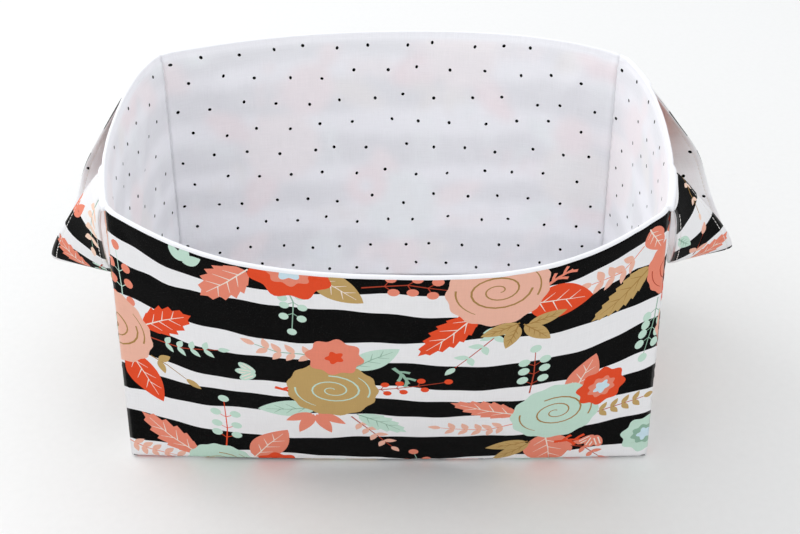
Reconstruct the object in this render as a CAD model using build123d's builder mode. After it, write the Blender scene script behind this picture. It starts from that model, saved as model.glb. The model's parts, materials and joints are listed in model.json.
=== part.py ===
from build123d import *
from math import atan2, copysign, cos, pi, sin, sqrt
import os

# Fabric storage bin: a five-panel sewn box (outer print, fleece and lining in
# each panel) with a strap handle sewn into the rim of each short side.
# Millimetres. +Z up, front towards -Y. The origin is the centre of the base
# rectangle, on the surface that the bin stands on.

# ---- base and walls
base_width = 370.0          # along X
base_depth = 209.0          # along Y
wall_height = 215.5         # rim height at the corners and the short sides
corner_radius = 5.5         # of the sewn vertical edges, outside
inner_corner_radius = 0.5   # the sharpest that they get inside

# The filled-out long walls bow outwards at the rim and pull the corners in.
front_pull_in = 16.8        # of each front rim corner, along X
back_pull_in = 11.0         # of each back rim corner, along X
front_corner_lean = 0.8     # front rim corners, outwards along Y
back_corner_set_in = 3.8    # back rim corners, inwards along Y
front_bow = 61.5            # of the front rim's middle beyond its corners
back_bow = 54.0
side_bow = 14.5
front_dip = 8.2             # of the front rim's middle below its corners
back_dip = 5.6

# ---- layers of each panel
outer_cloth = 0.8
fleece = 3.0
lining_cloth = 0.7
lip_height = 2.8            # lining rolled over the rim, down the outside

# ---- strap handles
strap_width = 43.5
face_cloth = 0.6
strap_core = 0.8
strap_lining = 0.6
front_setback = 1.5         # strap's edge to the front rim corner, along Y
back_setback = 4.0          # strap's edge to the back rim corner, along Y
tab_length = 22.0           # strap's end inside the rim seam
left_drop = 92.0            # loop's lowest point below the hinge line
right_drop = 82.0
left_reach = 32.0           # loop's lowest point out from the rim
right_reach = 34.5
loop_rise = 6.0             # degrees that its outer edge rises there
strap_stations = 24
hinge_clearance = 0.5       # between the strap's end, with its thread, and the rim
hinge_rise = 1.5            # hinge line above the rim
stitch_inset = 3.4          # thread row to the strap's edge
thread_width = 0.6
thread_height = 0.25

# ---- worked out
base_thickness = outer_cloth + fleece + lining_cloth
strap_thickness = face_cloth + strap_core + strap_lining
front_y = -(base_depth / 2 + front_corner_lean)
back_y = base_depth / 2 - back_corner_set_in
front_x = base_width / 2 - front_pull_in
back_x = base_width / 2 - back_pull_in
side_middle = Vector((front_x + back_x) / 2 + side_bow, (front_y + back_y) / 2)

os.makedirs("parts", exist_ok=True)


def finish(piece, name):
    """Label a finished piece and write it to its own file."""
    piece.label = name
    export_step(piece, f"parts/{name}.step")


# ---- nested tub shapes ------------------------------------------------------

def tub(inset):
    """The closed tub, drawn in by inset on every wall, from floor to rim."""
    radius = max(corner_radius - inset, inner_corner_radius)
    with BuildPart() as solid:
        with BuildSketch(Plane.XY) as base:
            Rectangle(base_width - 2 * inset, base_depth - 2 * inset)
            fillet(base.vertices(), radius)
        with BuildSketch(Plane.XY.offset(wall_height)) as rim:
            with BuildLine():
                middle = side_middle
                ThreePointArc((-front_x, front_y), (0, front_y - front_bow), (front_x, front_y))
                ThreePointArc((front_x, front_y), (middle.X, middle.Y), (back_x, back_y))
                ThreePointArc((back_x, back_y), (0, back_y + back_bow), (-back_x, back_y))
                ThreePointArc((-back_x, back_y), (-middle.X, middle.Y), (-front_x, front_y))
            make_face()
            if inset:
                offset(amount=-inset, kind=Kind.INTERSECTION)
            fillet(rim.vertices(), radius)
        loft(ruled=True)
    return solid.part


def above_rim(drop):
    """What lies above the dipped rim line, lowered by drop."""
    top = wall_height - drop
    reach = 2 * base_width
    with BuildPart() as waste:
        for dip, corner, sign in ((front_dip, front_x, -1), (back_dip, back_x, 1)):
            with BuildSketch(Plane.XZ):
                with BuildLine():
                    ThreePointArc((-corner, top), (0, top - dip), (corner, top))
                    Polyline((corner, top), (reach, top), (reach, top + wall_height),
                             (-reach, top + wall_height), (-reach, top), (-corner, top))
                make_face()
            extrude(amount=-sign * reach)
    return waste.part


def slab(low, high):
    """A wide flat slab between two heights."""
    with BuildPart() as layer:
        with BuildSketch(Plane.XY.offset(low)):
            Rectangle(4 * base_width, 4 * base_depth)
        extrude(amount=high - low)
    return layer.part


outer_face = tub(0)
outer_back = tub(outer_cloth)
fleece_back = tub(outer_cloth + fleece)
cavity = tub(base_thickness)
tab_back = tub(outer_cloth + strap_thickness)

# ---- base: one flat panel of each layer

with BuildPart() as outer_base:
    add(outer_face)
    add(slab(0, outer_cloth), mode=Mode.INTERSECT)
finish(outer_base.part, "outer_base")

with BuildPart() as fleece_base:
    add(outer_back)
    add(slab(outer_cloth, outer_cloth + fleece), mode=Mode.INTERSECT)
finish(fleece_base.part, "fleece_base")

with BuildPart() as lining_base:
    add(fleece_back)
    add(slab(outer_cloth + fleece, base_thickness), mode=Mode.INTERSECT)
finish(lining_base.part, "lining_base")

# ---- wall rings of each layer

with BuildPart() as outer_ring:
    add(outer_face)
    add(outer_back, mode=Mode.SUBTRACT)
    add(slab(-outer_cloth, outer_cloth), mode=Mode.SUBTRACT)
    add(above_rim(lip_height), mode=Mode.SUBTRACT)

with BuildPart() as fleece_ring:
    add(outer_back)
    add(fleece_back, mode=Mode.SUBTRACT)
    add(slab(-fleece, outer_cloth + fleece), mode=Mode.SUBTRACT)
    add(above_rim(lining_cloth), mode=Mode.SUBTRACT)

with BuildPart() as fleece_tub:
    add(outer_back)
    add(above_rim(lining_cloth), mode=Mode.SUBTRACT)

with BuildPart() as rim_filling:
    add(outer_face)
    add(above_rim(lip_height), mode=Mode.SUBTRACT)
    add(fleece_tub.part)
    add(fleece_back, mode=Mode.SUBTRACT)

with BuildPart() as lining_ring:
    add(outer_face)
    add(above_rim(0), mode=Mode.SUBTRACT)
    add(cavity, mode=Mode.SUBTRACT)
    add(rim_filling.part, mode=Mode.SUBTRACT)
    add(slab(-fleece, base_thickness), mode=Mode.SUBTRACT)


# ---- handle placing ---------------------------------------------------------

def rim_x(y):
    """Outer edge of the right-hand rim at y, on its bowed line."""
    front = Vector(front_x, front_y)
    back = Vector(back_x, back_y)
    edge = ThreePointArc(front, side_middle, back, mode=Mode.PRIVATE)
    centre = edge.arc_center
    return centre.X + sqrt(edge.radius ** 2 - (y - centre.Y) ** 2)


front_tab_y = front_y + front_setback + strap_width / 2
back_tab_y = back_y - back_setback - strap_width / 2
hinge_gap = strap_thickness / 2 + thread_height + hinge_clearance
hinge_height = wall_height + hinge_rise
front_hinge = Vector(rim_x(front_tab_y) + hinge_gap, front_tab_y, hinge_height)
back_hinge = Vector(rim_x(back_tab_y) + hinge_gap, back_tab_y, hinge_height)
rim_slope = atan2(rim_x(front_tab_y + strap_width / 2) - rim_x(front_tab_y - strap_width / 2),
                  strap_width)


def tab(side, y):
    """A strap's end where it lies inside the rim seam, behind the outer cloth."""
    top = wall_height - lip_height
    with BuildPart() as end:
        add(outer_back)
        add(tab_back, mode=Mode.SUBTRACT)
        with BuildSketch(Plane.XY.offset(top)):
            with Locations((side * base_width / 2, y)):
                Rectangle(base_width / 2, strap_width)
        extrude(amount=-tab_length, mode=Mode.INTERSECT)
    return end.part


tabs = {}
for side_name, side in (("left", -1), ("right", 1)):
    for end_name, y in (("front", front_tab_y), ("back", back_tab_y)):
        tabs[f"tab_{side_name}_{end_name}"] = tab(side, y)

for name, piece in tabs.items():
    finish(piece, name)

# ---- wall panels: each ring is cut along the four sewn corner edges


def corner_cut(side, end):
    """The plane through one sewn corner edge, along the corner's diagonal."""
    foot = Vector(side * base_width / 2, end * base_depth / 2, 0)
    if end < 0:
        head = Vector(side * front_x, front_y, wall_height)
    else:
        head = Vector(side * back_x, back_y, wall_height)
    inward = Vector(-side, -end, 0)
    normal = (head - foot).cross(inward).normalized()
    if normal.Y * end < 0:
        normal = -normal
    return Plane(origin=foot, x_dir=inward, z_dir=normal)


def panel(ring, side, end):
    """The ring's panel on one side: side is its sign along X, end along Y."""
    with BuildPart() as cloth:
        add(ring)
        split(bisect_by=Plane(origin=(0, 0, 0), z_dir=(side, end, 0)), keep=Keep.TOP)
        if side:
            for corner_end in (-1, 1):
                split(bisect_by=corner_cut(side, corner_end), keep=Keep.BOTTOM)
        else:
            for corner_side in (-1, 1):
                split(bisect_by=corner_cut(corner_side, end), keep=Keep.TOP)
    return cloth.part


walls = {"front": (0, -1), "back": (0, 1), "left": (-1, 0), "right": (1, 0)}

with BuildPart() as padded_ring:
    add(fleece_ring.part)
    for piece in tabs.values():
        add(piece, mode=Mode.SUBTRACT)

rings = {"outer": outer_ring, "fleece": padded_ring, "lining": lining_ring}
for layer_name, ring in rings.items():
    for wall_name, (side, end) in walls.items():
        finish(panel(ring.part, side, end), f"{layer_name}_{wall_name}")


# ---- strap handles ----------------------------------------------------------

def strap_frame(side):
    """Hinge frame of a handle: x outwards, y along the hinge line to the back."""
    front = Vector(side * front_hinge.X, front_hinge.Y, front_hinge.Z)
    back = Vector(side * back_hinge.X, back_hinge.Y, back_hinge.Z)
    along = (back - front).normalized()
    outward = Vector(side * along.Y, -side * along.X, 0)
    return (front + back) / 2, outward, along


def strap_low(turn):
    """How far down its drop the strap is: 0 at its ends, 1 at its lowest point."""
    return sin(turn) ** 1.2


def strap_line(side, drop, reach, turn):
    """Middle of the strap at turn: 0 at its front end, pi at its back end."""
    origin, outward, along = strap_frame(side)
    half_span = (back_hinge - front_hinge).length / 2
    sideways = copysign(abs(cos(turn)) ** 0.56, -cos(turn))
    low = strap_low(turn)
    return origin + along * half_span * sideways + outward * reach * low ** 0.85 \
        - Vector(0, 0, drop * low)


def strap_plane(side, drop, reach, turn):
    """Cross-section plane there: x across the strap, z along it."""
    origin, outward, along = strap_frame(side)
    step = pi / 400
    before = strap_line(side, drop, reach, max(turn - step, 0))
    after = strap_line(side, drop, reach, min(turn + step, pi))
    height = (1 - strap_low(turn)) ** 0.75
    heading = copysign(height * (pi / 2 - rim_slope), cos(turn))
    level = outward * cos(heading) + along * sin(heading)
    run = (after - before).normalized()
    run = (run - level * run.dot(level) * height).normalized()
    rise = sin(loop_rise * pi / 180) * (1 - height) ** 2
    across = level + Vector(0, 0, rise)
    across = (across - run * across.dot(run)).normalized()
    return Plane(origin=strap_line(side, drop, reach, turn), x_dir=across, z_dir=run)


def strap_strip(planes, low, high, middle, width):
    """A strip along the strap: low and high are its heights, middle and width across it."""
    with BuildPart() as strip:
        for plane in planes:
            with BuildSketch(plane):
                with Locations((middle, (low + high) / 2)):
                    Rectangle(width, high - low)
        loft(ruled=True)
    return strip.part


loops = (("left", -1, left_drop, left_reach), ("right", 1, right_drop, right_reach))
for side_name, side, drop, reach in loops:
    turns = [pi * i / strap_stations for i in range(strap_stations + 1)]
    planes = [strap_plane(side, drop, reach, turn) for turn in turns]
    faces = -side
    back_height = -strap_thickness / 2
    front_height = strap_thickness / 2
    layers = (("lining", back_height, strap_lining),
              ("core", back_height + strap_lining, strap_core),
              ("face", front_height - face_cloth, face_cloth))
    for layer_name, low, thickness in layers:
        ends = sorted((faces * low, faces * (low + thickness)))
        finish(strap_strip(planes, ends[0], ends[1], 0, strap_width),
               f"handle_{side_name}_{layer_name}")
    row = strap_width / 2 - stitch_inset
    with BuildPart() as stitching:
        for middle in (-row, row):
            for low in (front_height, back_height - thread_height):
                ends = sorted((faces * low, faces * (low + thread_height)))
                add(strap_strip(planes, ends[0], ends[1], middle, thread_width))
    finish(stitching.part, f"handle_{side_name}_stitching")
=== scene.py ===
"""Looks of the fabric storage bin: printed and lined cloth panels, rolled rim and strap handles.

Every panel is drawn flat, in millimetres of cloth, cut along the edges of its print, and then
bent on to the shape that the frame gives. Lengths in the flat cloth are millimetres and places
in space are metres.
"""

import json
from math import atan2, copysign, cos, floor, hypot, pi, radians, sin, sqrt

import bpy
import numpy as np
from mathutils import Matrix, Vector, noise
from mathutils.geometry import delaunay_2d_cdt


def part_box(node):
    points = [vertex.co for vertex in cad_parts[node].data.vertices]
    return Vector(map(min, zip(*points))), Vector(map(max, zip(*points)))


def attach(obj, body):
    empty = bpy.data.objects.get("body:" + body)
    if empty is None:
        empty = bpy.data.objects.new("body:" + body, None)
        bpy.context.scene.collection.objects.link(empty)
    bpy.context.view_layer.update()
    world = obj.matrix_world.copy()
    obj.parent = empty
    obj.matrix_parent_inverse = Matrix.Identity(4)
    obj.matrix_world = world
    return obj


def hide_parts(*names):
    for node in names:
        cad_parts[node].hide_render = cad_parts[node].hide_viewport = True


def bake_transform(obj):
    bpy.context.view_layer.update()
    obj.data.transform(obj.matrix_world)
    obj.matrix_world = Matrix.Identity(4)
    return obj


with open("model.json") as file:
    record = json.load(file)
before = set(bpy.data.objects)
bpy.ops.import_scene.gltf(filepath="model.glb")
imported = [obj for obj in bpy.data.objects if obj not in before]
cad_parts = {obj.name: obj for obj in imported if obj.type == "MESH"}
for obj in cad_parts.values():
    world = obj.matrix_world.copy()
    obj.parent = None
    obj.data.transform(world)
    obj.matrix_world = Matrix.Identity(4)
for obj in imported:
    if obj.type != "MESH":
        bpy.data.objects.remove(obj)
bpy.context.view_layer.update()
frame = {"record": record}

MM = 0.001

# ---- sizes read from the frame

base_low, base_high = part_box("outer_base")
rim_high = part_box("lining_right")[1]
HALF_WIDTH = base_high[0] / MM
HALF_DEPTH = (base_high[1] - base_low[1]) / 2 / MM
RIM_HEIGHT = rim_high[2] / MM
SIDE_REACH = rim_high[0] / MM
FRONT_REACH = -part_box("lining_front")[0][1] / MM
BACK_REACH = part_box("lining_back")[1][1] / MM

# ---- how the cloth hangs, in millimetres

FRONT_PULL_IN = 16.8        # of each front rim corner, along X
BACK_PULL_IN = 11.0         # of each back rim corner, along X
FRONT_CORNER_LEAN = 0.8     # front rim corners, outwards
BACK_CORNER_SET_IN = 3.8    # back rim corners, inwards
FRONT_BASE_BOW = 4.0        # of the base's front seam
WALL = 4.0                  # padded wall, outside to lining
RIM_WALL = 2.2              # the same at the rolled rim
RIM_TAPER = 16.0            # height over which the padding thins
LIP = 2.6                   # lining rolled down over the outside
STRAP_LIP = 5.0             # the same over the strap ends
STRAP_WIDTH = 43.5
STRAP_THICKNESS = 2.4
STITCH_INSET = 3.4
DOWN_POWER = 1.2            # the strap loop's curve: powers that shape its way down,
SPREAD_POWER = 0.56         # its way along the wall,
REACH_POWER = 0.85          # its way out from the rim
TWIST_POWER = 0.75          # and its twist
TUCK_IN = 1.1               # how far the strap's ends slip in under the rim
TUCK_DOWN = 4.6             # and down

# ---- cloth, in millimetres
WALL_GRID = 3.0             # between the lines along which the wall's cloth bends
BASE_GRID = 4.0
STRAP_GRID = 2.0
RIM_ROWS = 26               # grid lines over the rolled rim
OUTER_CLOTH = 0.6
LINING_CLOTH = 0.4
STRAP_CLOTH = 0.5
UNDER_RIM = 1.2             # outer cloth hidden under the rolled lining
WEAVE_PITCH = 0.42
DOT_SPACING = 27.0          # between the lining's dots along a row
DOT_ROW_SHARE = 0.8         # distance of the rows, as a share of it
DOT_STRAY = 9.0             # how far a dot may stray
DOT_MARGIN = 2              # from a dot to the cloth's edge

PRINT_WIDTH = 400.0         # the print repeats over this width
PRINT_HEIGHT = 270.0        # and over this height
PRINT_DROP = 16             # how far the walls' print starts below the base seam
FRONT_SAG = 14.0            # how far it has slipped down in the front's middle


# ---- colours

def srgb(code):
    """Linear colour of a six-digit sRGB code."""
    channels = [int(code[i:i + 2], 16) / 255 for i in (0, 2, 4)]
    return [c / 12.92 if c <= 0.04045 else ((c + 0.055) / 1.055) ** 2.4 for c in channels]


INKS = {
    "white": srgb("F1F0F1"), "black": srgb("040404"), "coral": srgb("EC8C74"),
    "red": srgb("E8502C"), "mint": srgb("C6E2D2"), "tan": srgb("C3A268"),
    "gold": srgb("A9834A"), "blush": srgb("F0B9A4"), "ice": srgb("CFE6F0"),
    "peach": srgb("F5D3BE"), "cream": srgb("F3E6DA"),
    "bleached": srgb("FBFBFE"), "sage": srgb("93B7A2"), "rust": srgb("B4452F"),
}


# ---- drawing in flat cloth

def turned(points, x, y, angle, size=1.0):
    """Points scaled by size, turned by angle in degrees and moved to x, y."""
    c = cos(radians(angle)) * size
    s = sin(radians(angle)) * size
    return [(x + px * c - py * s, y + px * s + py * c) for px, py in points]


def blob(x, y, rx, ry=None, angle=0, lobes=0, depth=0.0, phase=0.0, sides=26):
    """A closed round outline, with lobes waves of the given depth round it."""
    ry = rx if ry is None else ry
    outline = []
    for i in range(sides):
        a = 2 * pi * i / sides
        r = 1 + depth * cos(lobes * a + phase)
        outline.append((rx * r * cos(a), ry * r * sin(a)))
    return turned(outline, x, y, angle)


def stroke(points, start, end=None):
    """A brush stroke along points; start and end are its half widths."""
    end = start if end is None else end
    left = []
    right = []
    last = len(points) - 1
    for i, (x, y) in enumerate(points):
        ax, ay = points[max(i - 1, 0)]
        bx, by = points[min(i + 1, last)]
        length = hypot(bx - ax, by - ay) or 1.0
        half = start + (end - start) * i / last
        nx = -(by - ay) / length * half
        ny = (bx - ax) / length * half
        left.append((x + nx, y + ny))
        right.append((x - nx, y - ny))
    return left + right[::-1]


def arc(x, y, r, first, last, squash):
    """Points of an arc from angle first to last, in degrees."""
    steps = 9
    angles = [radians(first + (last - first) * i / (steps - 1)) for i in range(steps)]
    return [(x + r * cos(a), y + r * squash * sin(a)) for a in angles]


def rose(x, y, r, petal, line):
    """A round rose: a frilled disc with one brushed spiral and two outer strokes."""
    shapes = [(blob(x, y, r, 0.97 * r, 9 * x, 13, 0.026, y, 65), petal)]
    coil = []
    for i in range(44):
        t = i / 43
        a = 2 * pi * 2.15 * t + 0.3 * x
        coil.append((x + r * (0.06 + 0.58 * t) * cos(a), y + r * (0.05 + 0.5 * t) * sin(a)))
    shapes.append((stroke(coil, 0.012 * r, 0.022 * r), line))
    for first in (175, 340):
        outer = arc(x, y, 0.8 * r, first, first + 65, 0.92)
        shapes.append((stroke(outer, 0.02 * r, 0.008 * r), line))
    return shapes


def scallop(x, y, r, petal, ring, heart):
    """A flat flower with rounded petals, a ring round its heart and an uneven heart."""
    petals = 8
    return [(blob(x, y, r, r, 0, petals, 0.085, x, petals * 8), petal),
            (blob(x, y, 0.56 * r, 0.53 * r, 20, petals, 0.11, y, petals * 7), ring),
            (blob(x, y, 0.33 * r, 0.29 * r, 50, 5, 0.2, y, 40), heart)]


def leaf(x, y, length, width, angle, colour, vein="cream", teeth=0):
    """A leaf from its stalk end at x, y; teeth cut its two edges."""
    veins = 3
    upper = []
    lower = []
    steps = 2 * teeth if teeth else 14
    for i in range(1, steps):
        t = i / steps
        half = width / 2 * sin(pi * t ** 0.8) ** 0.85
        shift = 0
        if teeth and i % 2:
            half *= 0.78
            shift = -0.25 / steps
        elif teeth:
            shift = 0.55 / steps
        upper.append(((t + shift) * length, half))
        lower.append(((t + shift) * length, -half))
    outline = [(0, 0)] + lower + [(length, 0)] + upper[::-1]
    shapes = [(turned(outline, x, y, angle), colour)]
    if vein:
        rib = turned([(-0.04 * length, 0), (0.45 * length, 0.02 * length), (0.86 * length, 0)],
                     x, y, angle)
        shapes.append((stroke(rib, 0.55, 0.15), vein))
        for k in range(veins):
            t = 0.16 + 0.6 * k / veins
            reach = 0.3 * width * sin(pi * (t + 0.1) ** 0.8)
            for sign in (-1, 1):
                start = t + (0.05 if sign > 0 else 0)
                side = turned([(start * length, 0.01 * length),
                               ((start + 0.14) * length, sign * reach)], x, y, angle)
                shapes.append((stroke(side, 0.4, 0.12), vein))
    return shapes


def pointed(foot, tip, width, colour, vein="cream", teeth=0):
    """A leaf that reaches from foot to tip."""
    length = hypot(tip[0] - foot[0], tip[1] - foot[1])
    angle = atan2(tip[1] - foot[1], tip[0] - foot[0]) * 180 / pi
    return leaf(foot[0], foot[1], length, width, angle, colour, vein, teeth)


def sprig(points, leaf_length, colour, stem, pairs=3, berries=False):
    """A stem along points with paired small leaves, or berries, and one at its tip."""
    shapes = [(stroke(points, 0.55, 0.3), stem)]
    last = len(points) - 1
    for k in range(pairs + 1):
        place = last * (0.25 + 0.75 * k / pairs)
        i = min(int(place), last - 1)
        share = place - i
        (ax, ay), (bx, by) = points[i], points[i + 1]
        x = ax + (bx - ax) * share
        y = ay + (by - ay) * share
        heading = atan2(by - ay, bx - ax) * 180 / pi
        turns = (0,) if k == pairs else (55, -55)
        for turn in turns:
            if berries:
                a = radians(heading + turn)
                tip = (x + 1.1 * leaf_length * cos(a), y + 1.1 * leaf_length * sin(a))
                shapes.append((stroke([(x, y), tip], 0.3), stem))
                shapes.append((blob(tip[0], tip[1], 0.5 * leaf_length, sides=14), colour))
            else:
                shapes += leaf(x, y, leaf_length, 0.5 * leaf_length, heading + turn, colour, None)
    return shapes


def seeds(x, y, size, angle, colour):
    """Three striped seeds in a fan."""
    shapes = []
    for turn in (-38, 0, 38):
        cx, cy = turned([(size * 1.1, 0)], x, y, angle + turn)[0]
        shapes.append((blob(cx, cy, size, 0.52 * size, angle + turn, sides=16), colour))
        for offset in (-0.22, 0.18):
            line = turned([(-0.6 * size, offset * size), (0.6 * size, offset * size)],
                          cx, cy, angle + turn)
            shapes.append((stroke(line, 0.07 * size), "cream"))
    return shapes


def antler(x, y, size, angle, colour):
    """A branching twig."""
    shapes = [(stroke(turned([(0, 0), (0.5, 0.06), (1, 0)], x, y, angle, size),
                      0.07 * size, 0.04 * size), colour)]
    for t, turn in ((0.25, 50), (0.45, -45), (0.65, 42), (0.8, -38)):
        foot = turned([(t, 0.03)], x, y, angle, size)[0]
        twig = turned([(0, 0), (0.2, 0.02), (0.38, 0)], foot[0], foot[1], angle + turn, size)
        shapes.append((stroke(twig, 0.05 * size, 0.06 * size), colour))
    return shapes


# ---- the print

# Dark stripes: height of the lower and the upper edge, hand drawn, so each edge wanders.
STRIPES = ((19, 46), (73, 92), (107, 133), (154, 181), (198, 218), (240, 261))


def wander(edge, x):
    """How far a hand-drawn stripe edge strays at x; it closes over the print's width."""
    a = 2 * pi * x / PRINT_WIDTH
    return (2.0 * sin(a + edge * 1.7) + 1.6 * sin(2 * a + edge * 2.9)
            + 0.9 * sin(5 * a + edge * 0.7) + 0.4 * sin(13 * a + edge * 4.1))


def stripes(x_low, x_high):
    """The dark stripes between two places across the print."""
    shapes = []
    steps = int((x_high - x_low) / 5)
    xs = [x_low + (x_high - x_low) * i / steps for i in range(steps + 1)]
    for low, high in STRIPES:
        lower = [(x, low + wander(low, x)) for x in xs]
        upper = [(x, high + wander(high, x)) for x in xs]
        shapes.append((lower + upper[::-1], "black"))
    return shapes


# Sprigs of the print: the stem's points, leaf length, leaf ink, stem ink, pairs, berries.
SPRIGS = (
    (((150, 137), (132, 141), (117, 141), (103, 146)), 9.5, "blush", "sage", 4, False),
    (((160, 72), (172, 55), (187, 33)), 9, "blush", "rust", 4, False),
    (((126, 204), (130, 188), (128, 168)), 6, "mint", "sage", 3, True),
    (((71, 26), (74, 48), (75, 74)), 7.5, "mint", "red", 3, True),
    (((170, 104), (190, 107), (217, 114)), 5.5, "red", "rust", 3, True),
    (((170, 206), (196, 209), (219, 204)), 7, "coral", "rust", 3, True),
    (((252, 176), (248, 158), (226, 130)), 9.5, "mint", "rust", 4, False),
    (((272, 62), (250, 55), (220, 59)), 9, "blush", "coral", 5, False),
    (((350, 196), (330, 186), (307, 188)), 11, "blush", "coral", 4, False),
    (((318, 60), (340, 62), (362, 64)), 9, "tan", "rust", 4, False),
    (((366, 150), (364, 132), (359, 110)), 7.5, "mint", "sage", 4, True),
    (((26, 108), (38, 104), (51, 95)), 12, "tan", "gold", 1, False),
    (((8, 132), (9, 160), (8, 184)), 7.5, "coral", "mint", 3, True),
    (((28, 125), (52, 126), (78, 133)), 8.5, "mint", "rust", 4, False),
    (((276, 96), (277, 116), (276, 134)), 7.5, "mint", "rust", 3, True),
    (((-6, 20), (14, 12), (43, 6)), 9, "blush", "coral", 5, False),
    (((205, -8), (207, 6), (204, 18)), 7, "coral", "sage", 2, True),
    (((300, 30), (322, 22), (334, 8)), 8, "coral", "rust", 3, False),
)

# Leaves of the print: foot, tip, width, ink, vein ink, teeth on each edge.
LEAVES = (
    ((24, 134), (63, 159), 24, "red", "cream", 6), ((8, 106), (30, 64), 26, "red", "cream", 0),
    ((104, 211), (72, 180), 27, "coral", "cream", 6), ((142, 214), (171, 192), 21, "tan", "cream", 0),
    ((162, 128), (192, 150), 18, "mint", "sage", 0), ((138, 82), (98, 76), 19, "mint", "sage", 0),
    ((165, 74), (197, 53), 19, "mint", "sage", 6), ((50, 13), (12, 49), 24, "coral", "cream", 6),
    ((90, 14), (116, 52), 24, "coral", "cream", 0), ((266, 187), (309, 179), 29, "red", "cream", 0),
    ((238, 182), (203, 143), 23, "red", "cream", 7), ((356, 178), (311, 154), 22, "tan", "gold", 8),
    ((306, 84), (319, 122), 23, "coral", "cream", 0), ((271, 72), (225, 91), 20, "coral", "cream", 7),
    ((292, 44), (300, 1), 33, "coral", "cream", 0), ((262, 170), (240, 160), 10, "tan", "gold", 0),
    ((268, 168), (292, 174), 10, "tan", "gold", 0), ((266, 168), (284, 150), 11, "tan", "gold", 0),
    ((262, 168), (256, 147), 10, "tan", "gold", 0), ((280, 36), (252, 30), 12, "tan", "gold", 0),
    ((282, 34), (258, 12), 12, "tan", "gold", 0), ((134, 74), (116, 64), 9, "coral", "", 0),
    ((135, 73), (124, 50), 9, "coral", "", 0), ((137, 73), (146, 50), 9, "coral", "", 0),
    ((138, 75), (156, 62), 9, "coral", "", 0), ((63, 204), (54, 214), 8, "mint", "", 0),
    ((64, 204), (66, 218), 8, "mint", "", 0), ((63, 203), (76, 211), 8, "mint", "", 0),
    ((352, 208), (366, 188), 16, "coral", "cream", 0), ((40, 226), (66, 250), 22, "coral", "cream", 6),
    ((180, 232), (206, 252), 18, "mint", "sage", 0), ((330, 240), (300, 226), 16, "tan", "gold", 0),
)


def bouquets():
    """Flowers, leaves and berries of one repeat of the print, back to front."""
    shapes = []
    for points, length, ink, stem, pairs, berries in SPRIGS:
        shapes += sprig(points, length, ink, stem, pairs, berries)
    for foot, tip, width, ink, vein, teeth in LEAVES:
        shapes += pointed(foot, tip, width, ink, vein, teeth)
    for x, y, size, angle, ink in ((300, 32, 22, -4, "red"), (112, 103, 20, -24, "red"),
                                   (276, 199, 18, 28, "coral"), (188, 130, 20, -60, "sage")):
        shapes += antler(x, y, size, angle, ink)
    for x, y, size, angle, ink in ((101, 116, 6.5, 178, "mint"), (329, 34, 7, 250, "coral")):
        shapes += seeds(x, y, size, angle, ink)
    for x, y, r, petal, line in ((-2, 124, 31, "blush", "gold"), (398, 124, 31, "blush", "gold"),
                                 (248, 201, 31, "blush", "gold"), (149, 103, 30, "tan", "mint"),
                                 (297, 69, 31, "mint", "gold"), (65, 4, 24, "mint", "gold"),
                                 (376, 172, 22, "coral", "rust"), (110, 250, 25, "mint", "gold")):
        shapes += rose(x, y, r, petal, line)
    for x, y, r, petal, ring, heart in ((152, 139, 17, "coral", "coral", "red"),
                                        (129, 216, 24, "red", "coral", "ice"),
                                        (327, 87, 17, "red", "coral", "ice"),
                                        (106, 4, 16, "red", "coral", "ice"),
                                        (366, 26, 17, "mint", "sage", "ice"),
                                        (286, 252, 18, "coral", "coral", "red")):
        shapes += scallop(x, y, r, petal, ring, heart)
    return shapes


BOUQUETS = bouquets()


def printed(x0, y0, width, height, flowers=None):
    """The print's shapes over a panel that is cut with its corner at x0, y0 of the cloth."""
    shapes = []
    rows = range(floor(y0 / PRINT_HEIGHT) - 1, floor((y0 + height) / PRINT_HEIGHT) + 2)
    columns = range(floor(x0 / PRINT_WIDTH) - 1, floor((x0 + width) / PRINT_WIDTH) + 2)
    for group in (stripes(0, PRINT_WIDTH), BOUQUETS if flowers is None else flowers):
        for row in rows:
            for column in columns:
                dx = column * PRINT_WIDTH - x0
                dy = row * PRINT_HEIGHT - y0
                for outline, ink in group:
                    moved = [(x + dx, y + dy) for x, y in outline]
                    xs = [p[0] for p in moved]
                    ys = [p[1] for p in moved]
                    if max(xs) > 0 and min(xs) < width and max(ys) > 0 and min(ys) < height:
                        shapes.append((moved, ink))
    return shapes


def dots(width, height, seed):
    """The lining's small dark dots: staggered, each a little off its place."""
    shapes = []
    columns = int(width / DOT_SPACING) + 2
    rows = int(height / (DOT_SPACING * DOT_ROW_SHARE)) + 2
    for row in range(rows):
        for column in range(columns):
            key = Vector((column * 1.7, row * 2.3, seed * 5.1))
            off = noise.noise_vector(key) * DOT_STRAY
            x = (column + 0.5 * (row % 2)) * DOT_SPACING + off.x
            y = (row + 0.4) * DOT_SPACING * DOT_ROW_SHARE + off.y
            if DOT_MARGIN < x < width - DOT_MARGIN and DOT_MARGIN < y < height - DOT_MARGIN:
                tall = 1.25 + 0.3 * off.z / DOT_STRAY
                shapes.append((blob(x, y, 1.45, tall, 40 * off.z, sides=12), "black"))
    return shapes


# ---- cutting flat cloth into a mesh

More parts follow.
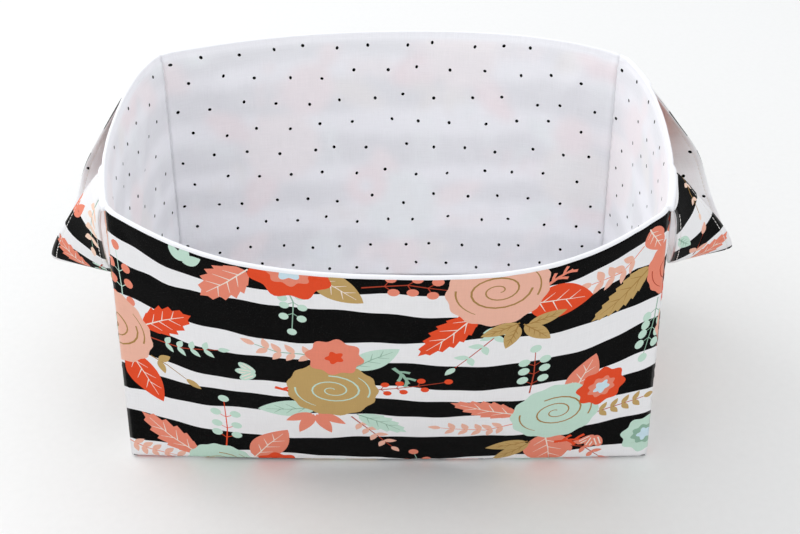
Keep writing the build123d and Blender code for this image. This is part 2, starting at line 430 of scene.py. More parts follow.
def cut(width, height, shapes, ground, columns, rows):
    """Flat cloth cut along its print: points, triangles and the ink of each triangle.

    columns and rows are the places of the grid lines that let the cloth bend."""
    points = []
    faces = []
    inks = []

    def outline(ring, ink):
        area = sum(a[0] * b[1] - b[0] * a[1] for a, b in zip(ring, ring[1:] + ring[:1]))
        if abs(area) < 0.02:
            return
        ring = ring if area > 0 else ring[::-1]
        first = len(points)
        points.extend(ring)
        faces.append(list(range(first, first + len(ring))))
        inks.append(ink)

    border = [(x, 0.0) for x in columns] + [(width, y) for y in rows[1:]]
    border += [(x, height) for x in columns[-2::-1]] + [(0.0, y) for y in rows[-2:0:-1]]
    outline(border, ground)
    for ring, ink in shapes:
        outline(ring, ink)
    for x in columns[1:-1]:
        points.extend((x, y) for y in rows[1:-1])
    found = delaunay_2d_cdt([Vector(p) for p in points], [], faces, 0, 1e-4, True)
    flat = np.array([tuple(v) for v in found[0]])
    triangles = []
    colours = []
    for face, sources in zip(found[2], found[5]):
        if 0 in sources:
            triangles.append(face)
            colours.append(INKS[inks[max(sources)]])
    return flat, triangles, np.array(colours)


def grid_lines(length, step):
    """Even grid lines from 0 to length, about step apart."""
    count = max(int(round(length / step)), 1)
    return [length * i / count for i in range(count + 1)]


def put(name, data):
    """Adds an object to the scene."""
    made = bpy.data.objects.new(name, data)
    bpy.context.scene.collection.objects.link(made)
    return made


def cloth_mesh(name, flat, triangles, colours, places, material, wear):
    """A cloth piece: places are its points in millimetres, flat its cloth coordinates."""
    used = sorted({i for t in triangles for i in t})
    renumber = {old: new for new, old in enumerate(used)}
    mesh = bpy.data.meshes.new(name)
    mesh.from_pydata((places[used] * MM).tolist(), [],
                     [[renumber[i] for i in t] for t in triangles])
    cloth = mesh.attributes.new("cloth", "FLOAT_VECTOR", "POINT")
    cloth.data.foreach_set("vector", np.c_[flat[used], np.zeros(len(used))].astype(
        np.float32).ravel())
    rubbed = mesh.attributes.new("wear", "FLOAT", "POINT")
    rubbed.data.foreach_set("value", wear[used].astype(np.float32))
    ink = mesh.color_attributes.new("ink", "FLOAT_COLOR", "CORNER")
    per_corner = np.repeat(np.c_[colours, np.ones(len(colours))], 3, axis=0)
    ink.data.foreach_set("color", per_corner.astype(np.float32).ravel())
    mesh.shade_smooth()
    mesh.materials.append(material)
    return put(name, mesh)


def thicken(piece, thickness):
    """Gives a cloth sheet its own thickness, behind its face."""
    bpy.context.view_layer.objects.active = piece
    modifier = piece.modifiers.new("thickness", "SOLIDIFY")
    modifier.thickness = thickness * MM
    modifier.offset = -1
    bpy.ops.object.select_all(action="DESELECT")
    piece.select_set(True)
    bpy.ops.object.modifier_apply(modifier=modifier.name)


# ---- the walls' shape

def smooth(t):
    """0 to 1 with level ends."""
    t = np.clip(t, 0, 1)
    return t * t * (3 - 2 * t)


def ripples(x, y, seed, size):
    """Gentle unevenness of cloth between about -1 and 1; size is its wavelength."""
    return np.array([noise.noise(Vector((a / size, b / size, seed)))
                     for a, b in zip(np.ravel(x), np.ravel(y))]).reshape(np.shape(x))


class Wall:
    """A wall ruled from its straight base seam to its bowed rim, in millimetres.

    u runs along it, left to right seen from outside, and v up its slope."""

    def __init__(self, foot_a, foot_b, head_a, head_b, reach, fullness, skew, base_bow, seed):
        self.foot_a = np.array(foot_a, float)
        self.foot_b = np.array(foot_b, float)
        self.seed = seed
        self.base_bow = base_bow
        run = self.foot_b - self.foot_a
        self.width = np.linalg.norm(run)
        self.outward = np.array((run[1], -run[0])) / self.width
        head_a = np.array(head_a, float)
        head_b = np.array(head_b, float)
        t = np.linspace(-1, 1, 400)
        bow = reach - (head_a @ self.outward + head_b @ self.outward) / 2
        chord = (head_a + head_b) / 2 + np.outer(t, (head_b - head_a) / 2)
        lift = bow * (1 - np.abs(t) ** fullness) * (1 + skew * t)
        self.rim = chord + np.outer(lift, self.outward)
        steps = np.linalg.norm(np.diff(self.rim, axis=0), axis=1)
        self.along = np.concatenate([[0], np.cumsum(steps)])
        self.along *= self.width / self.along[-1]
        self.height = sqrt(RIM_HEIGHT ** 2 + np.sum((head_a - self.foot_a) ** 2))
        self.folds = []
        self.corner_in = [np.array((-copysign(1, foot[0]), -copysign(1, foot[1]), 0)) / sqrt(2)
                          for foot in (self.foot_a, self.foot_b)]

    def ruled(self, u, v):
        """The wall's plain ruled surface."""
        share = np.clip(u / self.width, 0, 1)
        bow = self.base_bow * (1 - (2 * share - 1) ** 2)
        foot = self.foot_a + np.outer(share, self.foot_b - self.foot_a)
        foot = foot + np.outer(bow, self.outward)
        head = np.c_[np.interp(u, self.along, self.rim[:, 0]),
                     np.interp(u, self.along, self.rim[:, 1])]
        rise = np.sqrt(self.height ** 2 - np.sum((head - foot) ** 2, axis=1))
        return np.c_[foot + (head - foot) * (v / self.height)[:, None], rise * v / self.height]

    def normal(self, u, v):
        """Outward direction of the ruled surface."""
        step = 0.5
        u = np.clip(u, step, self.width - step)
        du = self.ruled(u + step, v) - self.ruled(u - step, v)
        dv = self.ruled(u, v + step) - self.ruled(u, v - step)
        n = np.cross(du, dv)
        return n / np.linalg.norm(n, axis=1)[:, None]

    def relief(self, u, v):
        """Softness of the padded cloth: fullness, unevenness, seam puckers and folds."""
        edge = np.minimum(u, self.width - u)
        free = smooth(edge / 18) * smooth(v / 16) * (0.35 + 0.65 * smooth((self.height - v) / 25))
        swell = 1.6 * np.sin(pi * np.clip(v / self.height, 0, 1)) * smooth(edge / 60)
        uneven = 1.7 * ripples(u, v, self.seed, 75) + 0.55 * ripples(u, v, self.seed + 9, 26)
        near_seam = np.exp(-(edge / 7) ** 2) + 0.6 * np.exp(-(v / 6) ** 2)
        along_seam = np.where(edge < v, v, u)
        pucker = 0.35 * np.sin(along_seam * 0.75 + 3 * ripples(u, v, self.seed + 4, 30))
        out = free * (swell + uneven) + pucker * near_seam * smooth(edge / 2) * smooth(v / 2)
        for au, av, bu, bv, height, width in self.folds:
            run = hypot(bu - au, bv - av)
            s = ((u - au) * (bu - au) + (v - av) * (bv - av)) / run
            off = ((v - av) * (bu - au) - (u - au) * (bv - av)) / run
            body = smooth(s / (0.3 * run)) * smooth((run - s) / (0.45 * run))
            out = out + height * body * np.exp(-(off / width) ** 2) * smooth(edge / 6)
        return out

    def place(self, u, v, depth):
        """Point of the padded wall at depth inside its outer cloth."""
        inset = np.clip(depth, 0, None)
        inner_u = inset + np.clip(u, 0, self.width) / self.width * (self.width - 2 * inset)
        n = self.normal(inner_u, v)
        point = self.ruled(inner_u, v) + n * (self.relief(inner_u, v) - depth)[:, None]
        for end, inward in zip((0.0, self.width), self.corner_in):
            seam = self.ruled(np.full_like(u, end), v)
            here = self.ruled(np.abs(end - inset), v) + self.normal(
                np.abs(end - inset), v) * (-depth)[:, None]
            target = seam + np.outer(0.9 + 1.15 * depth + 0.5 * smooth(depth / 3), inward)
            pull = np.exp(-(((u - end) / (3.2 + smooth(depth / 3))) ** 2))
            point = point + (target - here) * pull[:, None]
            tangent = (self.foot_b - self.foot_a) / self.width * (1 if end else -1)
            point[:, :2] += np.outer(0.45 * pull * smooth(depth - 1), tangent)
        bottom = np.exp(-((v / 2.6) ** 2)) * (depth < 1)
        point = point - n * (0.9 * bottom)[:, None]
        point[:, 2] += 1.5 * bottom
        return point


front_x = HALF_WIDTH - FRONT_PULL_IN
back_x = HALF_WIDTH - BACK_PULL_IN
front_y = -(HALF_DEPTH + FRONT_CORNER_LEAN)
back_y = HALF_DEPTH - BACK_CORNER_SET_IN
CORNERS = {"fl": ((-HALF_WIDTH, -HALF_DEPTH), (-front_x, front_y)),
           "fr": ((HALF_WIDTH, -HALF_DEPTH), (front_x, front_y)),
           "br": ((HALF_WIDTH, HALF_DEPTH), (back_x, back_y)),
           "bl": ((-HALF_WIDTH, HALF_DEPTH), (-back_x, back_y))}


def wall(a, b, reach, fullness, skew, base_bow, seed):
    """The wall from corner a to corner b."""
    (foot_a, head_a), (foot_b, head_b) = CORNERS[a], CORNERS[b]
    return Wall(foot_a, foot_b, head_a, head_b, reach, fullness, skew, base_bow, seed)


WALLS = {"front": wall("fl", "fr", FRONT_REACH, 2.9, 0.08, FRONT_BASE_BOW, 1.3),
         "right": wall("fr", "br", SIDE_REACH, 2.3, 0.15, 0.0, 5.7),
         "back": wall("br", "bl", BACK_REACH, 2.0, -0.25, 0.0, 8.1),
         "left": wall("bl", "fl", SIDE_REACH, 2.5, -0.12, 0.0, 12.9)}

# Folds: from u, v to u, v, then height (out is positive) and half width.
WALLS["left"].folds = [(20, 205, 120, 90, -1.8, 9), (60, 212, 150, 120, 1.3, 10),
                       (150, 60, 60, 10, 1.2, 12), (190, 210, 168, 130, -1.4, 7)]
WALLS["right"].folds = [(30, 205, 90, 110, -1.3, 9), (200, 200, 130, 70, 1.2, 11)]
WALLS["back"].folds = [(345, 214, 300, 150, -1.6, 9), (20, 212, 60, 150, -1.2, 8),
                       (120, 190, 190, 120, 0.9, 14)]
WALLS["front"].folds = [(8, 214, 46, 168, -1.3, 7), (362, 214, 330, 160, -1.3, 7),
                        (150, 212, 190, 150, 0.8, 15)]
WALL_PRINT = {"front": (0, 0), "right": (205, 0), "back": (120, 0), "left": (60, 0)}


def print_sag(wall_name, x, y):
    """How far the printed cloth has slipped down in the middle of the front."""
    if wall_name != "front":
        return 0.0
    low = max(0.0, 1 - y / RIM_HEIGHT)
    return FRONT_SAG * low ** 1.1 * (1 - (x / HALF_WIDTH - 1) ** 2)


def strap_cover(wall_name, u):
    """1 where a strap end lies under the rim of a side wall, fading to 0 beside it."""
    if wall_name not in ("left", "right"):
        return np.zeros_like(u)
    total = np.zeros_like(u)
    for middle in STRAP_ENDS[wall_name]:
        total = np.maximum(total, smooth((STRAP_WIDTH / 2 + 3 - np.abs(u - middle)) / 3))
    return total


# ---- materials

class Nodes:
    """Short calls for building one material's nodes."""

    def __init__(self, name):
        self.material = bpy.data.materials.new(name)
        self.material.use_nodes = True
        self.tree = self.material.node_tree
        self.shader = self.tree.nodes["Principled BSDF"]

    def add(self, kind, **settings):
        node = self.tree.nodes.new(kind)
        for key, value in settings.items():
            setattr(node, key, value)
        return node

    def link(self, source, target):
        self.tree.links.new(source, target)

    def attribute(self, name):
        return self.add("ShaderNodeAttribute", attribute_name=name)

    def math(self, operation, a, b=None):
        node = self.add("ShaderNodeMath", operation=operation)
        for socket, value in zip(node.inputs, (a, b)):
            if value is None:
                continue
            if isinstance(value, (int, float)):
                socket.default_value = value
            else:
                self.link(value, socket)
        return node.outputs[0]

    def noise(self, vector, scale, stretch=(1, 1, 1), detail=2.0):
        mapping = self.add("ShaderNodeMapping")
        mapping.inputs["Scale"].default_value = stretch
        self.link(vector, mapping.inputs["Vector"])
        texture = self.add("ShaderNodeTexNoise")
        texture.inputs["Scale"].default_value = scale
        texture.inputs["Detail"].default_value = detail
        self.link(mapping.outputs[0], texture.inputs["Vector"])
        return texture.outputs["Fac"]

    def mix(self, factor, a, b, blend="MIX"):
        node = self.add("ShaderNodeMix", data_type="RGBA", blend_type=blend)
        for socket, value in ((node.inputs[0], factor), (node.inputs[6], a), (node.inputs[7], b)):
            if isinstance(value, (int, float)):
                socket.default_value = value
            elif isinstance(value, tuple):
                socket.default_value = (*value, 1)
            else:
                self.link(value, socket)
        return node.outputs[2]

    def bump(self, height, strength, distance):
        """Relief too fine for the mesh."""
        node = self.add("ShaderNodeBump")
        node.inputs["Strength"].default_value = strength
        node.inputs["Distance"].default_value = distance
        self.link(height, node.inputs["Height"])
        self.link(node.outputs[0], self.shader.inputs["Normal"])

    def surface(self, values):
        """Sets the shader's plain values."""
        for name, value in values.items():
            self.shader.inputs[name].default_value = value


def cotton(name, ghost=0.0, fuzz=0.5):
    """Plain-woven quilting cotton: printed ink, weave, slubs and rubbed seams, with painted shade in
    the weave's hollows.

    ghost is how strongly the print behind shows through."""
    n = Nodes(name)
    place = n.attribute("cloth").outputs["Vector"]
    axes = n.add("ShaderNodeSeparateXYZ")
    n.link(place, axes.inputs[0])
    warp = n.math("SINE", n.math("MULTIPLY", axes.outputs["X"], pi / WEAVE_PITCH))
    weft = n.math("SINE", n.math("MULTIPLY", axes.outputs["Y"], pi / WEAVE_PITCH))
    weave = n.math("MULTIPLY", warp, weft)
    slub_x = n.noise(place, 1.0, (0.06, 1.6, 1))
    slub_y = n.noise(place, 1.0, (1.6, 0.06, 1))
    slubs = n.math("ADD", slub_x, slub_y)
    patchy = n.noise(place, 0.03, detail=4.0)
    ink = n.attribute("ink").outputs["Color"]
    # The ink is darkened by slubs and patches of uneven tone, and by painted shade of the weave:
    # darker where the weave's bump is low.
    light = n.math("ADD", n.math("MULTIPLY", slubs, 0.09), 0.88)
    light = n.math("ADD", light, n.math("MULTIPLY", weave, 0.025))
    light = n.math("ADD", light, n.math("MULTIPLY", patchy, 0.05))
    colour = n.mix(1.0, ink, light, "MULTIPLY")
    if ghost:
        behind = n.attribute("ghost").outputs["Color"]
        colour = n.mix(ghost, colour, n.mix(1.0, colour, behind, "MULTIPLY"))
    lint = n.math("MAXIMUM", n.math("SUBTRACT", n.noise(place, 1.6, detail=6.0), 0.6), 0.0)
    rubbed = n.math("MULTIPLY", n.attribute("wear").outputs["Fac"], 0.14)
    fuzzy = n.math("ADD", rubbed, n.math("MULTIPLY", lint, fuzz))
    colour = n.mix(fuzzy, colour, (0.72, 0.70, 0.68))
    n.link(colour, n.shader.inputs["Base Color"])
    height = n.math("ADD", n.math("MULTIPLY", weave, 0.5), n.math("MULTIPLY", slubs, 0.9))
    height = n.math("ADD", height, n.math("MULTIPLY", n.noise(place, 0.25, detail=3.0), 2.5))
    n.bump(height, 0.35, 0.00025)
    n.surface({"Roughness": 0.86, "Specular IOR Level": 0.05, "Sheen Weight": 0.015,
               "Sheen Roughness": 0.45})
    return n.material


def thread_material(name):
    """Twisted sewing thread, with painted shade where its twist bump is low."""
    n = Nodes(name)
    place = n.add("ShaderNodeTexCoord").outputs["Object"]
    twist = n.noise(place, 2600.0, (1, 1, 1.8), 1.0)
    # Painted shade: the thread's colour is darker where the same noise makes its bump low.
    n.link(n.mix(twist, (0.70, 0.66, 0.62), (0.92, 0.90, 0.87)), n.shader.inputs["Base Color"])
    n.bump(twist, 0.4, 0.0001)
    n.surface({"Roughness": 0.55, "Sheen Weight": 0.3})
    return n.material


print_cotton = cotton("print_cotton")
lining_cotton = cotton("lining_cotton", ghost=0.12, fuzz=0.2)
thread = thread_material("thread")


# ---- how the print shows through the lining

def inside(ring, x, y):
    """Which of the points x, y lie inside a closed outline."""
    hit = np.zeros(x.shape, bool)
    for (ax, ay), (bx, by) in zip(ring, ring[1:] + ring[:1]):
        if ay == by:
            continue
        crosses = (ay > y) != (by > y)
        hit ^= crosses & (x < ax + (y - ay) / (by - ay) * (bx - ax))
    return hit


class Ghost:
    """The blurred colour of a panel's print, as it shows through padding and lining."""

    STEP = 2.5
    BLUR = 3.6

    def __init__(self, width, height, shapes):
        columns = int(width / self.STEP) + 2
        rows = int(height / self.STEP) + 2
        xs = np.arange(columns) * self.STEP
        ys = np.arange(rows) * self.STEP
        grid_x, grid_y = np.meshgrid(xs, ys)
        colours = np.ones((rows, columns, 3)) * INKS["white"]
        for ring, ink in shapes:
            px = [p[0] for p in ring]
            py = [p[1] for p in ring]
            i0 = max(int(min(px) / self.STEP), 0)
            i1 = min(int(max(px) / self.STEP) + 2, columns)
            j0 = max(int(min(py) / self.STEP), 0)
            j1 = min(int(max(py) / self.STEP) + 2, rows)
            if i0 < i1 and j0 < j1:
                hit = inside(ring, grid_x[j0:j1, i0:i1], grid_y[j0:j1, i0:i1])
                colours[j0:j1, i0:i1][hit] = INKS[ink]
        reach = int(3 * self.BLUR / self.STEP)
        kernel = np.exp(-0.5 * (np.arange(-reach, reach + 1) * self.STEP / self.BLUR) ** 2)
        kernel /= kernel.sum()
        for axis in (0, 1):
            pads = [(reach, reach) if a == axis else (0, 0) for a in range(3)]
            padded = np.pad(colours, pads, mode="edge")
            colours = np.apply_along_axis(np.convolve, axis, padded, kernel, "valid")
        self.colours = colours

    def at(self, x, y):
        """Blurred print colour at places of the panel."""
        rows, columns = self.colours.shape[:2]
        gx = np.clip(x / self.STEP, 0, columns - 1.001)
        gy = np.clip(y / self.STEP, 0, rows - 1.001)
        i = gx.astype(int)
        j = gy.astype(int)
        fx = (gx - i)[:, None]
        fy = (gy - j)[:, None]
        c = self.colours
        low = c[j, i] * (1 - fx) + c[j, i + 1] * fx
        high = c[j + 1, i] * (1 - fx) + c[j + 1, i + 1] * fx
        return low * (1 - fy) + high * fy


def ghost_layer(piece, colours):
    """Stores the colour that shows through at each point of a lining piece."""
    layer = piece.data.color_attributes.new("ghost", "FLOAT_COLOR", "POINT")
    rgba = np.c_[colours, np.ones(len(colours))].astype(np.float32)
    layer.data.foreach_set("color", rgba.ravel())


# ---- strap handles

class Strap:
    """A twisted loop of strap hanging from its hinge line, in millimetres.

    s runs along it from its front end and c across it, towards the loop's inside at the ends."""

    RISE = sin(radians(6))      # how its outer edge rises at the lowest point
    TURN = radians(79.5)        # how far it twists from there to its ends
    STATIONS = 241

    def __init__(self, side_name, sign):
        joint = [j for j in frame["record"]["behaviour"]["joints"]
                 if j["name"] == f"handle_{side_name}_swing"][0]
        low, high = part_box(f"handle_{side_name}_core")
        low = np.array(low) / MM
        high = np.array(high) / MM
        self.sign = sign
        self.origin = np.array(joint["pos_m"]) / MM
        self.along = np.array(joint["axis"], float) * -sign
        self.outward = np.array((sign * self.along[1], -sign * self.along[0], 0))
        half_span = (high[1] - low[1] - STRAP_WIDTH) / 2
        reach = (high[0] if sign > 0 else -low[0]) - abs(self.origin[0]) - STRAP_WIDTH / 2
        drop = self.origin[2] - low[2] - STRAP_WIDTH / 2 * self.RISE
        turns = np.linspace(0, pi, self.STATIONS)
        level = np.clip(np.sin(turns), 0, 1) ** DOWN_POWER
        sideways = -np.sign(np.cos(turns)) * np.abs(np.cos(turns)) ** SPREAD_POWER
        tuck = (1 - level) ** 5
        self.line = (self.origin + np.outer(half_span * sideways, self.along)
                     + np.outer(reach * level ** REACH_POWER - TUCK_IN * tuck, self.outward))
        self.line[:, 2] -= drop * level + TUCK_DOWN * tuck
        run = np.gradient(self.line, axis=0)
        run /= np.linalg.norm(run, axis=1)[:, None]
        height = (1 - level) ** TWIST_POWER
        heading = np.sign(np.cos(turns)) * height * self.TURN
        flat = np.outer(np.cos(heading), self.outward) + np.outer(np.sin(heading), self.along)
        run = run - flat * (np.sum(run * flat, axis=1) * height)[:, None]
        run /= np.linalg.norm(run, axis=1)[:, None]
        across = flat.copy()
        across[:, 2] += self.RISE * (1 - height) ** 2
        across -= run * np.sum(run * across, axis=1)[:, None]
        self.across = across / np.linalg.norm(across, axis=1)[:, None]
        self.face = np.cross(run, self.across) * sign
        steps = np.linalg.norm(np.diff(self.line, axis=0), axis=1)
        self.s = np.concatenate([[0], np.cumsum(steps)])
        self.length = self.s[-1]

    def at(self, table, s):
        """One of the strap's tables, read at s."""
        return np.c_[[np.interp(s, self.s, table[:, k]) for k in range(3)]].T

    def place(self, s, c, depth):
        """Point at c from the strap's middle line and depth above its middle surface."""
        rim_free = smooth(np.minimum(s, self.length - s) / 30)
        wave = 0.8 * ripples(s, c, 20 + self.sign, 40) * rim_free
        cup = -1.6 * ((c / (STRAP_WIDTH / 2)) ** 2 - 0.3) * rim_free
        return (self.at(self.line, s) + self.at(self.across, s) * c[:, None]
                + self.at(self.face, s) * (depth + wave + cup)[:, None])


def strap_depth(s, c):
    """Half thickness of the strap at c: rounded edges, and a groove along each stitch row."""
    half = STRAP_WIDTH / 2
    body = STRAP_THICKNESS / 2 * (1 - np.clip(np.abs(c) / half, 0, 1) ** 14)
    row = np.abs(np.abs(c) - (half - STITCH_INSET))
    groove = 0.36 * np.exp(-(row / 0.8) ** 2)
    quilt = 0.10 * np.sin(2 * pi * s / 3.6) * np.exp(-(row / 1.8) ** 2)
    return body - groove + quilt * (np.abs(c) < half - 0.5)


STRAPS = {"left": Strap("left", -1), "right": Strap("right", 1)}


def wall_u(wall_name, y):
    """Where along a side wall's rim the given y lies."""
    side = WALLS[wall_name]
    order = np.argsort(side.rim[:, 1])
    return float(np.interp(y, side.rim[order, 1], side.along[order]))


STRAP_ENDS = {name: [wall_u(name, STRAPS[name].line[end][1]) for end in (0, -1)]
              for name in STRAPS}
STRAP_PRINT = {"left": (128, 45), "right": (226, 156)}
strap_edge = [0.0, 0.6, 1.4, 2.4, 3.0, 3.4, 3.8, 4.6]
edge_band = strap_edge[-1]
strap_columns = strap_edge + [edge_band + (STRAP_WIDTH - 2 * edge_band) * i / 14
                              for i in range(1, 14)]
strap_columns += [STRAP_WIDTH - e for e in strap_edge[::-1]]


def strap_flowers(side_name):
    """Leaves, sprigs and berries that fall on a strap; x is across it and y along it."""
    shapes = []
    if side_name == "right":
        shapes += sprig([(44, 4), (34, 14), (30, 30)], 6, "peach", "gold", 2)
        shapes += pointed((2, 30), (14, 48), 9, "mint", "sage")
        shapes += sprig([(16, 66), (20, 58), (26, 48)], 10, "blush", "rust", 1)
        shapes += pointed((14, 76), (44, 66), 17, "coral", "cream", 6)
        shapes += pointed((4, 84), (20, 72), 8, "blush", "")
    else:
        shapes += sprig([(8, -2), (12, 18), (10, 44)], 10, "peach", "sage", 4)
        shapes += pointed((38, 36), (28, 20), 9, "coral", "")
        shapes += pointed((40, 36), (44, 16), 9, "coral", "")
        shapes += pointed((16, 82), (43, 62), 18, "coral", "cream", 6)
        shapes += sprig([(4, 60), (8, 70), (6, 84)], 7, "mint", "rust", 2)
    shapes += rose(30, 128, 17, "blush", "gold")
    shapes += pointed((18, 120), (4, 98), 13, "red", "cream", 6)
    shapes += pointed((20, 138), (6, 156), 12, "mint", "sage")
    shapes += sprig([(34, 150), (30, 170), (36, 190)], 8, "mint", "rust", 4, True)
    shapes += scallop(12, 214, 15, "coral", "coral", "red")
    shapes += pointed((22, 222), (42, 240), 14, "tan", "cream")
    shapes += sprig([(10, 236), (14, 256), (8, 274)], 8, "blush", "rust", 4)
    return shapes


def make_strap(side_name):
    """A handle's printed face, its lining face and its stitches."""
    strap = STRAPS[side_name]
    body = f"handle_{side_name}"
    x0, y0 = STRAP_PRINT[side_name]
    shapes = printed(x0, y0, STRAP_WIDTH, strap.length, []) + strap_flowers(side_name)
    rows = grid_lines(strap.length, STRAP_GRID)
    made = []
    dotted = dots(STRAP_WIDTH, strap.length, 3 + strap.sign)
    for layer, pattern, ground, sign in (("face", shapes, "white", 1),
                                         ("lining", dotted, "bleached", -1)):
        flat, triangles, colours = cut(STRAP_WIDTH, strap.length, pattern, ground,
                                       strap_columns, rows)
        c = flat[:, 0] - STRAP_WIDTH / 2
        s = flat[:, 1]
        places = strap.place(s, c, sign * strap_depth(s, c))
        wear = np.exp(-(((STRAP_WIDTH / 2 - np.abs(c)) / 1.2) ** 2))
        if sign * strap.sign < 0:
            triangles = [t[::-1] for t in triangles]
        material = print_cotton if sign > 0 else lining_cotton
        piece = cloth_mesh(f"{body}_{layer}_cloth", flat, triangles, colours, places, material,
                           wear)
        if sign < 0:
            behind = Ghost(STRAP_WIDTH, strap.length, shapes)
            ghost_layer(piece, behind.at(flat[:, 0], flat[:, 1]))
        thicken(piece, STRAP_CLOTH)
        made.append(piece)
    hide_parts(f"{body}_face", f"{body}_core")
    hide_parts(f"{body}_lining")
    stitches = make_stitches(strap, body)
    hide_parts(f"{body}_stitching")
    for piece in (*made, stitches):
        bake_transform(piece)


def make_stitches(strap, body):
    """Rows of separate small stitches along both edges and on both faces of a strap."""
    pitch = 3.6
    length = 3.1
    radius = 0.4
    rings = 6
    around = 6
    points = []
    faces = []
    row = STRAP_WIDTH / 2 - STITCH_INSET
    count = int((strap.length - 16) / pitch)
    for c in (-row, row):
        for face in (1, -1):
            for k in range(count):
                middle = 8 + pitch * (k + 0.5)
                s = middle + length * (np.arange(rings) / (rings - 1) - 0.5)
                size = radius * np.sqrt(np.clip(1 - (2 * (s - middle) / length) ** 4, 0.04, 1))
                first = len(points)
                for a in range(around):
                    angle = 2 * pi * a / around
                    off = c + size * cos(angle)
                    lift = strap_depth(s, np.full(rings, c)) + 0.45 + size * sin(angle)
                    ring = strap.place(s, off, face * lift)
                    points.extend((ring * MM).tolist())
                for a in range(around):
                    b = (a + 1) % around
                    for r in range(rings - 1):
                        i = first + a * rings + r
                        j = first + b * rings + r
                        faces.append((i, j, j + 1, i + 1))
                faces.append([first + a * rings for a in range(around)][::-1])
                faces.append([first + a * rings + rings - 1 for a in range(around)])
    mesh = bpy.data.meshes.new(f"{body}_stitches")
    mesh.from_pydata(points, [], faces)
    mesh.validate()
    mesh.shade_smooth()
    mesh.materials.append(thread)
    return put(f"{body}_stitches", mesh)


# ---- wall panels

def panel_print(name):
    """The print on a wall's outer panel, slipped down where the cloth has."""
    side = WALLS[name]
    x0, y0 = WALL_PRINT[name]
    shapes = printed(x0, y0 - PRINT_DROP, side.width, side.height + PRINT_DROP + 4)
    return [([(x, y - PRINT_DROP - print_sag(name, x, y)) for x, y in ring], ink)
            for ring, ink in shapes]


def make_outer(name):
    """A wall's printed outer panel, from the base seam to under the rolled rim."""
    side = WALLS[name]
    height = side.height - LIP + UNDER_RIM
    columns = grid_lines(side.width, WALL_GRID)
    rows = [0.0, 0.8, 1.7, 3.0, 5.0] + [y + 5.0 for y in grid_lines(height - 5.0, WALL_GRID)[1:]]
    flat, triangles, colours = cut(side.width, height, panel_print(name), "white", columns, rows)
    u, v = flat[:, 0], flat[:, 1]
    depth = 0.4 * smooth((v - (side.height - LIP - 2)) / 2)
    wear = np.exp(-((np.minimum(u, side.width - u) / 1.6) ** 2)) + np.exp(-((v / 1.6) ** 2))
    piece = cloth_mesh(f"outer_{name}_cloth", flat, triangles, colours,
                       side.place(u, v, depth), print_cotton, np.clip(wear, 0, 1))
    thicken(piece, OUTER_CLOTH)
    tabs = [f"tab_{name}_{end}" for end in ("front", "back")] if name in STRAPS else []
    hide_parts(f"outer_{name}", f"fleece_{name}", *tabs)
    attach(piece, "bin")


def make_lining(name):
    """A wall's lining: up the inside, rolled over the rim and down over the outer cloth."""
    side = WALLS[name]
    roll = RIM_WALL / 2 + 0.25
    start = WALL + 0.5
    straight = side.height - roll - start
    over = pi * roll
    lip = STRAP_LIP - roll
    total = straight + over + lip
    columns = grid_lines(side.width, WALL_GRID)
    rows = grid_lines(straight, WALL_GRID)[:-2]
    rows += [rows[-1] + (total - rows[-1]) * i / RIM_ROWS for i in range(1, RIM_ROWS + 1)]
    pattern = dots(side.width, straight - 4, side.seed)
    flat, triangles, colours = cut(side.width, total, pattern, "bleached", columns, rows)
    u, s = flat[:, 0], flat[:, 1]
    cover = strap_cover(name, u)
    lip_here = (LIP + (STRAP_LIP - LIP) * cover) - roll
    swell = STRAP_THICKNESS * 0.75 * cover
    v = start + np.minimum(s, straight)
    depth = RIM_WALL + (WALL - RIM_WALL) * smooth((side.height - v) / RIM_TAPER)
    angle = np.clip((s - straight) / roll, 0, pi)
    down = np.clip((s - straight - over) / lip, 0, 1)
    middle = depth / 2
    half_round = (middle + 0.12) * np.cos(angle)
    turning = s > straight
    outside = np.clip(-np.cos(angle), 0, 1)
    depth = np.where(turning, middle + half_round - swell * outside, depth)
    depth = depth + 0.75 * down ** 6 * (1 + swell)
    v = np.where(turning, v + roll * np.sin(angle) - lip_here * down, v)
    plump = 0.25 * ripples(u, s * 0.3, side.seed + 2, 9) * smooth((s - straight + 4) / 4)
    places = side.place(u, v, depth - plump * outside)
    piece = cloth_mesh(f"lining_{name}_cloth", flat, [t[::-1] for t in triangles], colours,
                       places, lining_cotton, np.zeros(len(u)))
    inner_u = np.clip(u, WALL, side.width - WALL)
    through = Ghost(side.width, side.height, panel_print(name)).at(inner_u, v)
    fade = smooth((side.height - 4 - v) / 5)[:, None]
    ghost_layer(piece, through * fade + (1 - fade))
    thicken(piece, LINING_CLOTH)
    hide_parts(f"lining_{name}")
    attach(piece, "bin")


for wall_name in WALLS:
    make_outer(wall_name)
    make_lining(wall_name)


# ---- base panels

def base_shape(x, y, level, gap):
    """Base panel points: flat, with edges that turn up to meet the walls' seams."""
    front_bow = FRONT_BASE_BOW * (1 - np.clip(np.abs(x) / HALF_WIDTH, 0, 1) ** 2)
    stretch = np.where(y < 0, 1 + front_bow / HALF_DEPTH, 1)
    edge = np.minimum(HALF_WIDTH - gap - np.abs(x), HALF_DEPTH - gap - np.abs(y))
    lift = np.exp(-((np.clip(edge, 0, None) / 3.0) ** 2))
    inward = 1 - 0.9 * lift / HALF_DEPTH
    z = level + 1.3 * lift + 0.5 * ripples(x, y, 3.3, 60) * smooth(edge / 20) * (level > 1)
    return np.c_[x * inward, y * stretch * inward, z]


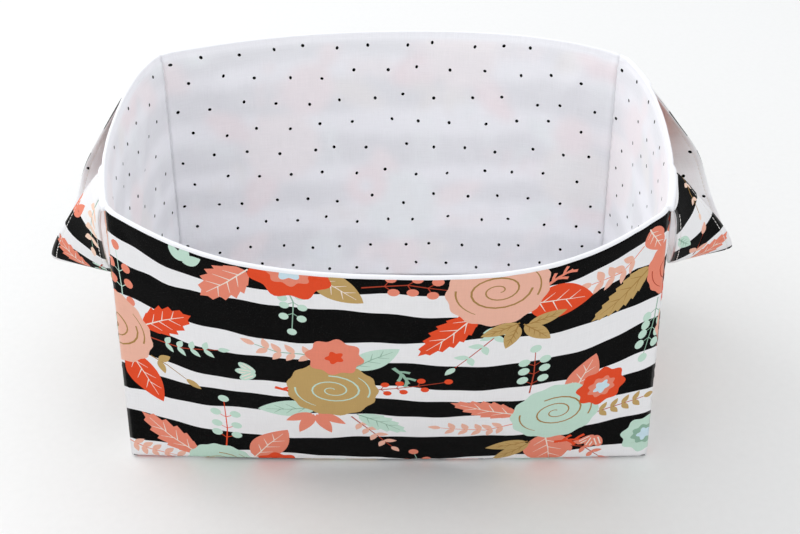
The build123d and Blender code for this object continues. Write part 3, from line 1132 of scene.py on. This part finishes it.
def make_base(name, pattern, material, level, gap, thickness, flip):
    """A base panel at height level, gap in from the walls; flip turns its face down."""
    width = 2 * (HALF_WIDTH - gap)
    depth = 2 * (HALF_DEPTH - gap)
    columns, rows = [[0.0, 1.5, 3.0] + [3 + x for x in grid_lines(size - 6, BASE_GRID)[1:]]
                     + [size - 1.5, size] for size in (width, depth)]
    ground = "white" if flip else "bleached"
    flat, triangles, colours = cut(width, depth, pattern, ground, columns, rows)
    places = base_shape(flat[:, 0] - width / 2, flat[:, 1] - depth / 2, level, gap)
    if flip:
        triangles = [t[::-1] for t in triangles]
    piece = cloth_mesh(name, flat, triangles, colours, places, material,
                       np.zeros(len(flat)))
    if not flip:
        ghost_layer(piece, np.ones((len(flat), 3)))
    thicken(piece, thickness)
    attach(piece, "bin")
    return piece


outer_base = make_base("outer_base_cloth", printed(0, 90, 2 * HALF_WIDTH, 2 * HALF_DEPTH),
                       print_cotton, 0.1, 0.0, OUTER_CLOTH, True)
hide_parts("outer_base", "fleece_base")
inner_base = make_base("lining_base_cloth",
                       dots(2 * HALF_WIDTH - 2 * WALL, 2 * HALF_DEPTH - 2 * WALL, 2.2),
                       lining_cotton, 4.6, WALL, LINING_CLOTH, False)
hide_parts("lining_base")

for strap_side in STRAPS:
    make_strap(strap_side)


# ---- floor, light and camera

def make_stage():
    """A pale, slightly glossy floor that runs out into the light."""
    bpy.ops.mesh.primitive_plane_add(size=40, location=(0, 0, -0.0002))
    floor_plane = bpy.context.object
    floor_plane.name = "floor"
    n = Nodes("floor_board")
    place = n.add("ShaderNodeTexCoord").outputs["Object"]
    grain = n.noise(place, 180.0, detail=5.0)
    n.link(n.mix(grain, (0.84, 0.84, 0.83), (0.88, 0.88, 0.87)), n.shader.inputs["Base Color"])
    n.surface({"Roughness": 0.32, "Specular IOR Level": 0.35})
    floor_plane.data.materials.append(n.material)


def soft_light(name, place, target, size, power):
    """A square soft light at place, aimed at target."""
    lamp = bpy.data.lights.new(name, "AREA")
    lamp.shape = "SQUARE"
    lamp.size = size
    lamp.energy = power
    holder = put(name, lamp)
    holder.location = place
    aim = Vector(target) - Vector(place)
    holder.rotation_euler = aim.to_track_quat("-Z", "Y").to_euler()


def make_light():
    """An even bright surround and one soft window, behind on the left."""
    world = bpy.data.worlds.new("studio")
    world.use_nodes = True
    background = world.node_tree.nodes["Background"]
    background.inputs["Color"].default_value = (0.965, 0.98, 1, 1)
    background.inputs["Strength"].default_value = 0.98
    bpy.context.scene.world = world
    soft_light("window", (-1.5, 0.7, 1.7), (0, 0, 0.1), 1.5, 16)
    bpy.context.scene.view_settings.view_transform = "Standard"


def make_camera():
    """The camera stands in front, a little right of the middle, and looks down."""
    width = 2 * HALF_WIDTH * MM
    lens = bpy.data.cameras.new("camera")
    lens.lens = 47.6
    lens.sensor_width = 36
    camera = put("camera", lens)
    camera.location = (0.0234 * width, -1.695 * width, 1.528 * width)
    camera.rotation_euler = (radians(90 - 37.06), 0, radians(0.1))
    bpy.context.scene.camera = camera


make_stage()
make_light()
make_camera()
